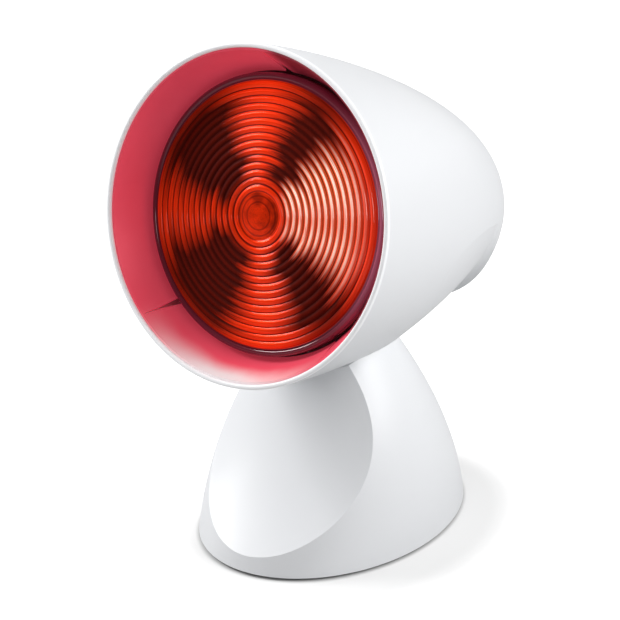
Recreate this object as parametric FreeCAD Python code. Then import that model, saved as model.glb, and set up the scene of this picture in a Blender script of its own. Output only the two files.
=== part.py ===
import FreeCAD, Part
import math
import os

from FreeCAD import Placement, Rotation
from FreeCAD import Vector as V

# Table-top infrared heat lamp: a hooded red reflector bulb that tilts on a scooped stand.
# World frame: +Z up, the lamp faces -Y, the origin is the middle of the footprint on the table.
# Head frame: origin in the middle of the hood's mouth, +Y back along the bulb, +Z up.

# Driving dimensions in millimetres and degrees

# Head at rest
head_tilt = 12.5                # how far the mouth looks up
tilt_travel = 12.5              # tilt either way from rest
pivot_setback = 85.41           # the hinge's axis behind the mouth, along the bulb
pivot_drop = 8.81               # the hinge's axis below the hood's outside

# Hood: a superellipse turned about an axis that droops a little behind the mouth
mouth_margin = 12.0             # hood's outside radius over the bulb's
hood_nose_room = 24.5           # from the lampholder's plate to the back of the hood
hood_nose_power = 1.52
hood_side_power = 2.68
hood_droop = 0.6
hood_wall = 2.2
lip_round = 0.9
relief_pivot = 46.0             # depth about which the underside is raised behind the hinge
relief_angle = 7.6
relief_fade = 0.4               # keeps the raised underside clear of the hood's sides
chin_setback = 56.0             # where the raised underside bends out into the chin, from the hood's back
chin_round = 12.0
chin_angle = 40.0
vent_count = 5
vent_pitch = 5.5
vent_width = 2.4
vent_length = 30.0

# Polished liner between the lip and the bulb
liner_front = 1.5
liner_back = 24.0
liner_slope = 0.36              # radius lost per millimetre of depth
liner_thickness = 0.8
liner_fit = 0.15
seam_width = 0.6
notch_start = 10.0
notch_width = 5.0
seam_angles = (0.0, 138.0, -138.0)
rib_angles = (70.0, 180.0, -70.0)
rib_width = 2.5
rib_length = 7.0

# Reflector bulb
lens_radius = 60.5
lens_rim = 17.0                 # depth of the rim behind the mouth
lens_flange = 3.0
lens_rise = 6.0                 # how far the middle stands out in front of the rim
lens_thickness = 4.0
boss_rise = 0.8                 # bulge of the plain middle inside the rings
ring_count = 13
ring_start = 12.0
ring_margin = 3.5               # from the outermost ring to the lens's edge
ring_height = 0.75
bowl_flange = 3.5
bowl_step = 2.0                 # the bowl's shoulder is this much smaller than the flange
bowl_wall = 2.5
neck_radius = 17.0
neck_depth = 100.0
neck_length = 12.0
neck_taper = 1.0                # narrowing of the neck's inside towards the cap
cap_radius = 13.1
cap_setback = 5.0               # from the neck's end to the cap
cap_pitch = 3.62
cap_turns = 7
cap_thread_height = 1.1
cap_wall = 0.9
cap_fit = 0.1
insulator_length = 3.5
contact_radius = 5.0
contact_length = 2.0
filament_depth = 68.0
filament_length = 26.0
filament_turns = 9
filament_radius = 1.6
post_radius = 0.9
shield_radius = 9.0
shield_depth = 96.0
shield_thickness = 1.0
post_fit = 0.05

# Lampholder and its mounting plate
holder_radius = 20.5
holder_setback = 1.0            # the lampholder's rim behind the cap's front
holder_floor_thickness = 11.66
holder_chamfer = 1.5
holder_contact_thickness = 0.5
holder_contact_step = 0.5       # the lampholder's contact is this much smaller than the bulb's
shell_wall = 0.8
shell_inset = 3.0               # from the lampholder's rim to the threaded shell
shell_contact_gap = 1.5
shell_fit = 0.2
plate_radius = 30.0
plate_thickness = 1.5
boss_circle = 25.0
boss_radius = 3.6
holder_screw_spacing = 20.0
holder_screw_length = 9.5
plate_screw_length = 9.5
terminal_screw_length = 5.5
lead_entry = 4.0                # how deep the lead goes into the lampholder

# Hinge
pivot_y = -4.0
lug_clearance = 2.0             # under the lugs, over the yoke's base
pivot_radius = 3.0
pivot_fit = 0.05
lug_radius = 8.0
lug_gap = 14.0                  # clear width between the two lugs under the hood
lug_thickness = 5.0
ear_radius = 9.0
ear_thickness = 3.0
ear_web_angle = 50.0
friction_washer_thickness = 0.6
friction_washer_radius = 7.5
washer_fit = 0.05
spring_washer_thickness = 1.2
bolt_head_height = 4.0
bolt_head_radius = 5.6
nut_height = 5.0
bolt_end = 1.0                  # thread showing past the nut

# Stand: elliptical sections that shrink upwards, with a front scooped like a saddle
base_half_width = 56.4
base_half_depth = 76.6
width_swell = 0.035
width_taper = 0.00396
depth_swell = -0.3569
depth_taper = 0.0019
cup_height = 29.0               # from the deck to the top of the stand
stand_wall = 2.5
deck_top = 64.0
deck_thickness = 3.0
scoop_radius = 157.8            # of the hollow front, seen from the side
scoop_waist = 69.0              # of the same front, seen from above, where it is furthest back
scoop_setback = 15.0            # from the hinge's axis forward to the scoop
scoop_z = 127.5
head_clearance = 0.6

# Base, feet and fasteners
foot_height = 1.5
foot_radius = 6.5
foot_recess = 1.5
foot_chamfer = 0.6
foot_inset_x = 23.4             # from the stand's outline to a foot's middle
foot_inset_y = 34.6
base_thickness = 3.0
base_fit = 0.2
base_boss_inset = 16.4
base_boss_y = 22.0
base_boss_radius = 4.0
screw_radius = 1.5
screw_fit = 0.05
screw_head_radius = 3.0
screw_head_height = 1.5
screw_end_gap = 0.5             # room past the end of a screw in a blind hole
base_screw_length = 10.0
block_screw_length = 7.0
yoke_thickness = 3.0
yoke_front = -2.0
yoke_back = 22.0
yoke_screw_x = 8.0
yoke_screw_front = 4.0
yoke_screw_back = 16.0

# Wiring
lead_radius = 2.2
lead_fit = 0.1
lead_advance = 9.41             # where the lead leaves the hood, in front of the hinge
lead_end_gap = 3.5
grommet_wall = 2.0
grommet_lip = 2.0
grommet_flange = 1.5
gland_z = 15.0
gland_bore = 3.4
gland_neck_radius = 5.0
gland_flange_radius = 7.5
gland_flange = 2.0
gland_boss_radius = 9.0
gland_collar = 1.0
terminal_width = 22.0
terminal_depth = 14.0
terminal_height = 12.0
terminal_y = 18.0
terminal_well = 4.0
terminal_sink = 1.0             # from the block's top down to the clamping screws

overrun = 5.0                   # how far cutting tools run past the faces that they cut

# Places that follow from the dimensions above
hood_mouth_radius = lens_radius + mouth_margin
ring_end = lens_radius - ring_margin
bowl_shoulder = lens_radius - bowl_step
neck_end = neck_depth + neck_length
cap_depth = neck_end + cap_setback
cap_end = cap_depth + cap_pitch * cap_turns
contact_end = cap_end + insulator_length + contact_length
holder_depth = cap_depth + holder_setback
holder_floor = contact_end + holder_contact_thickness
holder_back = holder_floor + holder_floor_thickness
hood_length = holder_back + plate_thickness + hood_nose_room
chin_depth = hood_length - chin_setback
stand_top = deck_top + cup_height
pivot_z = deck_top + yoke_thickness + lug_clearance + lug_radius
scoop_y = pivot_y - scoop_setback + scoop_waist
foot_x = base_half_width - foot_inset_x
foot_y = base_half_depth - foot_inset_y
base_boss_x = base_half_width - base_boss_inset
plate_top = foot_height + base_thickness
lead_depth = pivot_setback - lead_advance

nodes = {}


def head_place():
    """The head's rest pose, hung from the hinge."""
    turn = Rotation(V(1, 0, 0), -head_tilt)
    hinge = V(0, pivot_setback, -hood_radius_below(pivot_setback) - pivot_drop)
    return Placement(V(0, pivot_y, pivot_z) - turn.multVec(hinge), turn)


def to_world(shape):
    """Place a shape drawn in the head frame at the head's rest pose."""
    shape = shape.copy()
    shape.Placement = head_place() * shape.Placement
    return shape


def to_head(point):
    """A world point in the head frame."""
    return head_place().inverse().multVec(point)


def tilted(shape, angle):
    """A world shape turned about the hinge; a positive angle lowers the mouth."""
    turned = shape.copy()
    turned.rotate(V(0, pivot_y, pivot_z), V(1, 0, 0), angle)
    return turned


def rod(radius, start, end):
    """Round bar between two points."""
    axis = end - start
    return Part.makeCylinder(radius, axis.Length, start, axis)


def block(low, high):
    """Box between two corners."""
    size = high - low
    return Part.makeBox(size.x, size.y, size.z, low)


def turned(outline):
    """Solid turned about the head's axis from a closed outline of (depth, radius) points."""
    points = [V(0, depth, radius) for depth, radius in outline]
    face = Part.Face(Part.makePolygon(points + points[:1]))
    return face.revolve(V(0, 0, 0), V(0, 1, 0), 360)


def tube(points, radius, bend):
    """Round tube along straight runs whose corners are rounded to the same bend."""
    edges = []
    start = points[0]
    for before, corner, after in zip(points, points[1:], points[2:]):
        into = (corner - before).normalize()
        out = (after - corner).normalize()
        turn = into.getAngle(out)
        reach = bend * math.tan(turn / 2)
        first = corner - into * reach
        last = corner + out * reach
        inward = (out - into).normalize()
        middle = corner + inward * (bend / math.cos(turn / 2) - bend)
        edges += [Part.makeLine(start, first), Part.Arc(first, middle, last).toShape()]
        start = last
    edges.append(Part.makeLine(start, points[-1]))
    ring = Part.Wire(Part.makeCircle(radius, points[0], points[1] - points[0]))
    return Part.Wire(edges).makePipeShell([ring], True, False)


def screw(seat, into, length, head_height=screw_head_height, head_radius=screw_head_radius):
    """Pan-head screw whose head rests on the seat and whose shank points along into."""
    head = rod(head_radius, seat - into * head_height, seat)
    return head.fuse(rod(screw_radius, seat, seat + into * length)).removeSplitter()


def around_axis(shape, angle):
    """A head shape drawn at the top, turned about the head's axis towards +X."""
    copy = shape.copy()
    copy.rotate(V(0, 0, 0), V(0, 1, 0), angle)
    return copy


# Hood

def hood_form(inset=0.0):
    """The hood's turned form, drawn in by inset, running out in front of the mouth."""
    radius = hood_mouth_radius - inset
    length = hood_length - inset
    steps = 14
    points = []
    for step in range(steps + 1):
        angle = math.radians(90 * step / steps)
        depth = length * math.sin(angle) ** (2 / hood_nose_power)
        points.append(V(0, depth, radius * max(math.cos(angle), 0.0) ** (2 / hood_side_power)))
    points[-1] = V(0, length, 0)
    curve = Part.BSplineCurve()
    curve.interpolate(Points=points, InitialTangent=V(0, 1, 0), FinalTangent=V(0, 0, -1))
    front = V(0, -2 * overrun, radius)
    centre = V(0, -2 * overrun, 0)
    wire = Part.Wire([Part.makeLine(centre, front), Part.makeLine(front, points[0]),
                      curve.toShape(), Part.makeLine(points[-1], centre)])
    form = Part.Face(wire).revolve(V(0, 0, 0), V(0, 1, 0), 360)
    form.rotate(V(0, 0, 0), V(1, 0, 0), -hood_droop)
    return form


def in_front_of_mouth():
    reach = 2 * hood_mouth_radius
    return block(V(-reach, -reach, -reach), V(reach, 0, reach))


def hood_radius(depth):
    """Radius of the hood's outside at a depth behind the mouth."""
    return hood_mouth_radius * (1 - (depth / hood_length) ** hood_nose_power) ** (1 / hood_side_power)


def hood_cones(grow=0.0):
    """The hood's form as a row of cones, grown all round."""
    steps = 12
    depths = [0.96 * hood_length * step / steps for step in range(steps + 1)]
    outline = [(depth, hood_radius(depth) + grow) for depth in depths]
    form = turned([(0, 0)] + outline + [(hood_length, hood_radius(depths[-1]) / 2), (hood_length, 0)])
    form.rotate(V(0, 0, 0), V(1, 0, 0), -hood_droop)
    return form


def raised_form(grow, steps):
    """Turned form that the raised underside follows: the hood's own, flaring out into the chin."""
    depths = [chin_depth * step / steps for step in range(steps + 1)]
    outline = [(0, 0)] + [(depth, hood_radius(depth) + grow) for depth in depths]
    depth, radius = outline[-1]
    slope = math.atan((hood_radius(chin_depth) - hood_radius(chin_depth - overrun)) / overrun)
    end_slope = math.radians(chin_angle)
    bends = 6
    for bend in range(1, bends + 1):
        angle = slope + (end_slope - slope) * bend / bends
        outline.append((depth + chin_round * (math.sin(angle) - math.sin(slope)),
                        radius + chin_round * (math.cos(slope) - math.cos(angle))))
    depth, radius = outline[-1]
    back = hood_length + overrun
    outline += [(back, radius + (back - depth) * math.tan(end_slope)), (back, 0)]
    form = turned(outline)
    form.rotate(V(0, 0, 0), V(1, 0, 0), -hood_droop)
    return form


def underside_relief(inset=0.0, steps=12):
    """What is taken off the underside between the hinge and the chin."""
    kept = raised_form(relief_fade - inset, steps)
    kept.rotate(V(0, relief_pivot, 0), V(1, 0, 0), relief_angle)
    reach = 2 * hood_mouth_radius
    return block(V(-reach, relief_pivot, -reach), V(reach, hood_length, 0)).cut(kept)


def hood_envelope(clearance):
    """Outside of the hood, grown by a clearance, that the stand keeps away from."""
    return hood_cones(clearance).cut(underside_relief(-clearance))


def boss_points(depth):
    """Centres of the three bosses that carry the lampholder's plate."""
    for angle in (0, 120, 240):
        turn = math.radians(angle)
        yield V(boss_circle * math.sin(turn), depth, boss_circle * math.cos(turn))


def liner_radius(depth):
    """Outer radius of the liner at a depth behind the mouth."""
    return hood_mouth_radius - hood_wall - liner_fit - liner_slope * (depth - liner_front)


def lug_inner():
    return lug_gap / 2


def lug_outer():
    return lug_gap / 2 + lug_thickness


def make_hood_shell():
    outer = hood_form().cut(underside_relief(0.0, 24))
    cavity = hood_form(hood_wall).cut(underside_relief(hood_wall))
    shell = outer.cut(cavity).cut(in_front_of_mouth())
    lip = [edge for edge in shell.Edges
           if all(abs(vertex.Point.y) < 1e-6 for vertex in edge.Vertexes) and edge.BoundBox.YLength < 1e-6]
    shell = shell.makeFillet(lip_round, lip)

    pivot = to_head(V(0, pivot_y, pivot_z))
    for side in (-1, 1):
        near = V(side * lug_inner(), pivot.y, pivot.z)
        far = V(side * lug_outer(), pivot.y, pivot.z)
        lug = rod(lug_radius, near, far)
        low = V(min(near.x, far.x), pivot.y - lug_radius, pivot.z)
        high = V(max(near.x, far.x), pivot.y + lug_radius, pivot.z + 3 * lug_radius)
        shell = shell.fuse(lug.fuse(block(low, high)).cut(cavity))
    across = V(lug_outer() + overrun, 0, 0)
    shell = shell.cut(rod(pivot_radius + pivot_fit, pivot - across, pivot + across))

    plate_back = holder_back + plate_thickness
    for low in boss_points(plate_back):
        boss = rod(boss_radius, low, V(low.x, hood_length, low.z)).common(cavity)
        shell = shell.fuse(boss)
    for low in boss_points(plate_back - overrun):
        depth = overrun + plate_screw_length - plate_thickness + screw_end_gap
        shell = shell.cut(rod(screw_radius + screw_fit, low, low + V(0, depth, 0)))

    rib_back = liner_back - overrun
    inside = liner_cone(liner_radius, liner_front - overrun, liner_back + overrun)
    for angle in rib_angles:
        rib = block(V(-rib_width / 2, rib_back - rib_length, liner_radius(rib_back) - overrun),
                    V(rib_width / 2, rib_back, hood_mouth_radius - hood_wall / 2))
        shell = shell.fuse(around_axis(rib, angle).cut(inside))

    for row in range(vent_count):
        height = (row - (vent_count - 1) / 2) * vent_pitch
        slot = block(V(-vent_length / 2, holder_back + 3 * overrun, height - vent_width / 2),
                     V(vent_length / 2, hood_length + overrun, height + vent_width / 2))
        shell = shell.cut(slot)

    top = V(0, lead_depth, -hood_mouth_radius / 2)
    shell = shell.cut(rod(lead_radius + lead_fit, top, top - V(0, 0, hood_mouth_radius)))
    return shell.removeSplitter()


def liner_cone(radius_at, front, back):
    return turned([(front, 0), (front, radius_at(front)), (back, radius_at(back)), (back, 0)])


def make_reflector_liner():
    outside = liner_cone(liner_radius, liner_front, liner_back)
    inside = liner_cone(lambda depth: liner_radius(depth) - liner_thickness,
                        liner_front - overrun, liner_back + overrun)
    liner = outside.cut(inside)
    slit_start = liner_front + 2 * liner_thickness
    half = seam_width / 2
    end = liner_back + overrun
    outline = [V(-half, slit_start, 0), V(-half, notch_start, 0), V(-notch_width / 2, end, 0),
               V(notch_width / 2, end, 0), V(half, notch_start, 0), V(half, slit_start, 0)]
    slit = Part.Face(Part.makePolygon(outline + outline[:1])).extrude(V(0, 0, hood_mouth_radius))
    for angle in seam_angles:
        liner = liner.cut(around_axis(slit, angle))
    return liner


# Bulb

def lens_front(radius):
    """Depth of the lens's front dome at a radius."""
    return lens_rim - lens_rise * (1 - (radius / ring_end) ** 2)


def seal_depth():
    return lens_rim + lens_flange


def make_bulb_lens():
    pitch = (ring_end - ring_start) / ring_count
    steps = 4
    outline = []
    for step in range(steps + 1):
        radius = ring_start * step / steps
        outline.append((lens_front(radius) - boss_rise * (1 - (step / steps) ** 2), radius))
    for ring in range(ring_count):
        crest = ring_start + (ring + 0.5) * pitch
        valley = ring_start + (ring + 1) * pitch
        outline += [(lens_front(crest) - ring_height, crest), (lens_front(valley), valley)]
    bevel = lens_flange / 3
    outline += [(lens_rim, lens_radius - bevel), (lens_rim + bevel, lens_radius),
                (seal_depth(), lens_radius), (seal_depth(), bowl_inner(seal_depth()))]
    inner_rim = bowl_inner(seal_depth())
    steps = 6
    for step in range(1, steps + 1):
        radius = inner_rim * (1 - step / steps)
        sag = lens_rise * (1 - (radius / inner_rim) ** 2)
        outline.append((seal_depth() - sag * (lens_flange + lens_rise - lens_thickness) / lens_rise, radius))
    return turned(outline)


def bowl_outer(depth):
    """Radius of the bowl's paraboloid, from the shoulder behind the flange to the neck."""
    shoulder = seal_depth() + bowl_flange
    share = (neck_depth - depth) / (neck_depth - shoulder)
    return math.sqrt(neck_radius ** 2 + (bowl_shoulder ** 2 - neck_radius ** 2) * share)


def bowl_inner(depth):
    return bowl_outer(max(depth, seal_depth() + bowl_flange)) - bowl_wall


def make_bulb_bowl():
    shoulder = seal_depth() + bowl_flange
    steps = 9
    depths = [shoulder + (neck_depth - shoulder) * (step / steps) for step in range(steps + 1)]
    stem = cap_radius - cap_thread_height - cap_wall - cap_fit
    stem_end = cap_depth + cap_pitch
    outline = [(seal_depth(), bowl_inner(seal_depth())), (seal_depth(), lens_radius),
               (shoulder, lens_radius)]
    outline += [(depth, bowl_outer(depth)) for depth in depths]
    outline += [(neck_end, neck_radius), (cap_depth, stem), (stem_end, stem), (stem_end, 0), (neck_end, 0)]
    outline += [(neck_end, neck_radius - bowl_wall - neck_taper)]
    outline += [(depth, bowl_inner(depth)) for depth in reversed(depths)]
    return turned(outline)


def make_filament():
    pitch = filament_length / filament_turns
    outline = [(0, 0)]
    for turn_number in range(filament_turns):
        low = turn_number * pitch
        outline += [(low, filament_radius / 2), (low + pitch / 2, filament_radius)]
    outline += [(filament_length, filament_radius / 2), (filament_length, 0)]
    coil = turned(outline)
    coil.rotate(V(0, 0, 0), V(0, 0, 1), -90)
    coil.translate(V(-filament_length / 2, filament_depth - filament_radius - post_radius, 0))
    return coil


def make_filament_posts():
    posts = []
    for side in (-1, 1):
        inset = filament_length / 2 - 2 * post_radius
        top = V(side * inset, filament_depth - post_radius, 0)
        knee = V(side * inset, filament_depth + 2 * post_radius, 0)
        low = V(side * shield_radius / 2, shield_depth - 4 * post_radius, 0)
        posts.append(tube([top, knee, low, V(low.x, neck_end, 0)], post_radius, 3 * post_radius))
    return Part.makeCompound(posts)


def make_heat_shield():
    disc = rod(shield_radius, V(0, shield_depth, 0), V(0, shield_depth + shield_thickness, 0))
    for side in (-1, 1):
        x = side * shield_radius / 2
        disc = disc.cut(rod(post_radius + post_fit, V(x, shield_depth - overrun, 0),
                            V(x, shield_depth + overrun, 0)))
    return disc


def thread_outline(depth, crest, root):
    """Rolled round thread, as crests and roots of equal pitch."""
    points = [(depth, root)]
    for turn_number in range(cap_turns):
        low = depth + turn_number * cap_pitch
        points += [(low + cap_pitch / 2, crest), (low + cap_pitch, root)]
    return points


def make_screw_cap():
    root = cap_radius - cap_thread_height
    bore = root - cap_wall
    outline = thread_outline(cap_depth, cap_radius, root) + [(cap_end, bore), (cap_depth, bore)]
    return turned(outline)


def make_cap_insulator():
    root = cap_radius - cap_thread_height
    end = cap_end + insulator_length
    return turned([(cap_end, 0), (cap_end, root), (end, contact_radius), (end, 0)])


def make_cap_contact():
    start = cap_end + insulator_length
    return turned([(start, 0), (start, contact_radius), (contact_end - contact_length / 2, contact_radius),
                   (contact_end, contact_radius / 2), (contact_end, 0)])


# Lampholder

def holder_bore():
    return cap_radius + 2 * shell_fit + shell_wall


def make_lampholder_body():
    body = rod(holder_radius, V(0, holder_depth, 0), V(0, holder_back, 0))
    rim = [edge for edge in body.Edges if abs(edge.BoundBox.YMax - holder_depth) < 1e-6]
    body = body.makeChamfer(holder_chamfer, rim)
    body = body.cut(rod(holder_bore(), V(0, holder_depth - overrun, 0), V(0, holder_floor, 0)))
    for point in holder_screw_points():
        depth = holder_screw_length - plate_thickness + screw_end_gap
        body = body.cut(rod(screw_radius + screw_fit, point, point - V(0, depth, 0)))
    for inner, outer in terminal_spots():
        body = body.cut(rod(screw_radius + screw_fit, inner, outer))
    entry = lead_start()
    return body.cut(rod(lead_radius + lead_fit, entry, entry - V(0, 0, holder_radius)))


def holder_screw_points():
    for side in (-1, 1):
        yield V(0, holder_back, side * holder_screw_spacing / 2)


def terminal_spots():
    depth = (holder_floor + holder_back) / 2
    end = holder_radius - terminal_screw_length - screw_end_gap
    for side in (-1, 1):
        yield V(side * end, depth, 0), V(side * (holder_radius + overrun), depth, 0)


def lead_start():
    return V(0, (holder_floor + holder_back) / 2, lead_entry - holder_radius)


def make_lampholder_shell():
    outer = cap_radius + shell_fit + shell_wall
    inner = cap_radius + shell_fit
    start = holder_depth + shell_inset
    tail = holder_floor - shell_wall
    hole = contact_radius + shell_contact_gap
    return turned([(start, inner), (start, outer), (holder_floor, outer), (holder_floor, hole),
                   (tail, hole), (tail, inner)])


def make_lampholder_contact():
    return rod(contact_radius - holder_contact_step, V(0, contact_end, 0), V(0, holder_floor, 0))


def make_lampholder_terminals():
    screws = []
    for inner, outer in terminal_spots():
        side = math.copysign(1, outer.x)
        seat = V(side * holder_radius, outer.y, 0)
        screws.append(screw(seat, V(-side, 0, 0), terminal_screw_length))
    return Part.makeCompound(screws)


def make_lampholder_plate():
    plate = rod(plate_radius, V(0, holder_back, 0), V(0, holder_back + plate_thickness, 0))
    for point in list(boss_points(holder_back - overrun)) + list(holder_screw_points()):
        start = V(point.x, holder_back - overrun, point.z)
        plate = plate.cut(rod(screw_radius + screw_fit, start, start + V(0, 3 * overrun, 0)))
    return plate


def make_plate_screws():
    return Part.makeCompound([screw(point, V(0, 1, 0), plate_screw_length)
                              for point in boss_points(holder_back)])


def make_lampholder_screws():
    shift = V(0, plate_thickness, 0)
    return Part.makeCompound([screw(point + shift, V(0, -1, 0), holder_screw_length)
                              for point in holder_screw_points()])


def make_head_lead():
    start = lead_start()
    drop = V(0, start.y, -holder_radius - 3 * lead_radius)
    over = V(0, lead_depth, -bowl_outer(lead_depth) - 3 * lead_radius)
    end = V(0, lead_depth, -hood_radius_below(lead_depth))
    return tube([start, drop, over, end], lead_radius, 2 * lead_radius)


def hood_radius_below(depth):
    """Distance from the bulb's axis down to the outside of the hood."""
    return hood_radius(depth) + depth * math.tan(math.radians(hood_droop))


# Stand

def section(z, inset):
    """Elliptical outline of the stand at a height, drawn in by inset."""
    half_width = base_half_width + width_swell * z - width_taper * z ** 2 - inset
    half_depth = base_half_depth + depth_swell * z - depth_taper * z ** 2 - inset
    steps = 20
    angles = [math.radians(360 * step / steps) for step in range(steps)]
    curve = Part.BSplineCurve()
    curve.interpolate([V(half_width * math.cos(angle), half_depth * math.sin(angle), z) for angle in angles],
                      PeriodicFlag=True)
    return Part.Wire(curve.toShape())


def stand_form(low, high, inset=0.0):
    """Lofted body of the stand between two heights."""
    steps = 6
    wires = [section(low + (high - low) * step / steps, inset) for step in range(steps + 1)]
    return Part.makeLoft(wires, True)


def scoop(grow=0.0):
    """Ring round the stand that hollows its front like a saddle."""
    centre = V(0, scoop_y, scoop_z)
    return Part.makeTorus(scoop_waist + scoop_radius, scoop_radius + grow, centre, V(0, 0, 1))


def base_boss_points(z):
    for x in (-base_boss_x, base_boss_x):
        for y in (-base_boss_y, base_boss_y):
            yield V(x, y, z)


def yoke_screw_points(z):
    for x in (-yoke_screw_x, yoke_screw_x):
        for y in (yoke_screw_front, yoke_screw_back):
            yield V(x, y, z)


def lead_y():
    return to_world(Part.Vertex(V(0, lead_depth, -hood_radius_below(lead_depth)))).Point.y


def gland_face():
    """Y of the flat seat of the cable gland at the back of the stand."""
    return base_half_depth + depth_swell * gland_z - depth_taper * gland_z ** 2 - gland_flange


def make_stand_shell():
    outer = stand_form(foot_height, stand_top).cut(scoop())
    room = scoop(stand_wall)
    lower = stand_form(foot_height - overrun, deck_top - deck_thickness, stand_wall).cut(room)
    upper = stand_form(deck_top, stand_top + overrun, stand_wall).cut(room)
    shell = outer.cut(lower).cut(upper)

    for point in base_boss_points(plate_top):
        boss = rod(base_boss_radius, point, V(point.x, point.y, deck_top)).common(lower)
        shell = shell.fuse(boss)
    for point in base_boss_points(base_screw_seat()):
        depth = base_screw_length + screw_end_gap
        shell = shell.cut(rod(screw_radius + screw_fit, point, point + V(0, 0, depth)))

    seat = gland_face()
    boss = rod(gland_boss_radius, V(0, seat - 3 * gland_flange, gland_z), V(0, seat, gland_z))
    below = block(V(-base_half_width, 0, 0), V(base_half_width, base_half_depth, plate_top))
    shell = shell.fuse(boss.common(lower).cut(below))
    outside = V(0, base_half_depth, gland_z)
    shell = shell.cut(rod(gland_flange_radius + base_fit, V(0, seat, gland_z), outside))
    shell = shell.cut(rod(gland_neck_radius + base_fit, V(0, seat - 4 * gland_flange, gland_z), outside))

    for point in yoke_screw_points(deck_top - deck_thickness - overrun):
        shell = shell.cut(rod(screw_radius + screw_fit, point, point + V(0, 0, 3 * overrun)))
    shell = shell.cut(rod(grommet_radius() + screw_fit, V(0, lead_y(), deck_top - 2 * overrun),
                          V(0, lead_y(), deck_top + overrun)))
    envelope = to_world(hood_envelope(head_clearance))
    for angle in (-tilt_travel, tilt_travel):
        shell = shell.cut(tilted(envelope, angle))
    return shell.removeSplitter()


def make_base_plate():
    plate = stand_form(foot_height, plate_top, stand_wall + base_fit)
    for point in base_boss_points(0):
        top = point + V(0, 0, plate_top + overrun)
        plate = plate.cut(rod(screw_radius + screw_fit, point, top))
        plate = plate.cut(rod(screw_head_radius + base_fit, point, point + V(0, 0, base_screw_seat())))
    for point in foot_points():
        plate = plate.cut(rod(foot_radius, point, point + V(0, 0, foot_height + foot_recess)))
    for side in (-1, 1):
        spot = V(side * terminal_width / 4, terminal_y + terminal_depth / 2, 0)
        plate = plate.cut(rod(screw_radius + screw_fit, spot, spot + V(0, 0, 3 * overrun)))
        plate = plate.cut(rod(screw_head_radius + base_fit, spot, spot + V(0, 0, base_screw_seat())))
    return plate


def base_screw_seat():
    return foot_height + screw_head_height + base_fit


def make_base_screws():
    return Part.makeCompound([screw(point, V(0, 0, 1), base_screw_length)
                              for point in base_boss_points(base_screw_seat())])


def foot_points():
    for x in (-foot_x, foot_x):
        for y in (-foot_y, foot_y):
            yield V(x, y, 0)


def make_foot(point):
    foot = rod(foot_radius, point, point + V(0, 0, foot_height + foot_recess))
    return foot.makeChamfer(foot_chamfer, [edge for edge in foot.Edges if edge.BoundBox.ZMax < 1e-6])


def make_cable_gland():
    seat = gland_face()
    flange = rod(gland_flange_radius, V(0, seat, gland_z), V(0, seat + gland_flange, gland_z))
    neck = rod(gland_neck_radius, V(0, seat - 4 * gland_flange, gland_z), V(0, seat, gland_z))
    collar = rod(gland_neck_radius + gland_collar, V(0, seat - 4 * gland_flange, gland_z),
                 V(0, seat - 3 * gland_flange, gland_z))
    gland = flange.fuse(neck).fuse(collar)
    return gland.cut(rod(gland_bore, V(0, 0, gland_z), V(0, 2 * base_half_depth, gland_z))).removeSplitter()


def make_terminal_block():
    low = V(-terminal_width / 2, terminal_y, plate_top)
    body = block(low, low + V(terminal_width, terminal_depth, terminal_height))
    for side in (-1, 1):
        x = side * terminal_width / 4
        middle = V(x, terminal_y + terminal_depth / 2, low.z)
        end = V(x, middle.y, base_screw_seat() + block_screw_length + screw_end_gap)
        body = body.cut(rod(screw_radius + screw_fit, middle, end))
        top = V(x, middle.y, low.z + terminal_height)
        body = body.cut(rod(screw_head_radius, top, top - V(0, 0, terminal_well)))
    entry = V(0, terminal_y, low.z + terminal_height / 2)
    return body.cut(rod(lead_radius + lead_fit, entry, entry + V(0, terminal_depth / 3, 0)))


def make_terminal_screws():
    top = plate_top + terminal_height
    y = terminal_y + terminal_depth / 2
    screws = []
    for x in (-terminal_width / 4, terminal_width / 4):
        screws.append(rod(screw_head_radius - lead_fit, V(x, y, top - terminal_well),
                          V(x, y, top - terminal_sink)))
    return Part.makeCompound(screws)


def make_block_screws():
    y = terminal_y + terminal_depth / 2
    return Part.makeCompound([screw(V(x, y, base_screw_seat()), V(0, 0, 1), block_screw_length)
                              for x in (-terminal_width / 4, terminal_width / 4)])


def make_stand_lead():
    top = to_world(Part.Vertex(V(0, lead_depth, -hood_radius_below(lead_depth)))).Point
    low_z = plate_top + terminal_height / 2
    start = V(0, lead_y(), top.z - lead_end_gap)
    end = V(0, terminal_y + terminal_depth / 3, low_z)
    return tube([start, V(0, lead_y(), low_z), end], lead_radius, 4 * lead_radius)


def grommet_radius():
    return lead_radius + grommet_wall


def make_lead_grommet():
    y = lead_y()
    under = deck_top - deck_thickness
    low = V(0, y, under - grommet_flange)
    neck = rod(grommet_radius(), low, V(0, y, deck_top))
    flange = rod(grommet_radius() + grommet_lip, low, V(0, y, under))
    return neck.fuse(flange).cut(rod(lead_radius + lead_fit, V(0, y, 0), V(0, y, 2 * deck_top)))


# Hinge

def ear_inner():
    return lug_outer() + washer_fit + friction_washer_thickness


def ear_outer():
    return ear_inner() + ear_thickness


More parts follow.
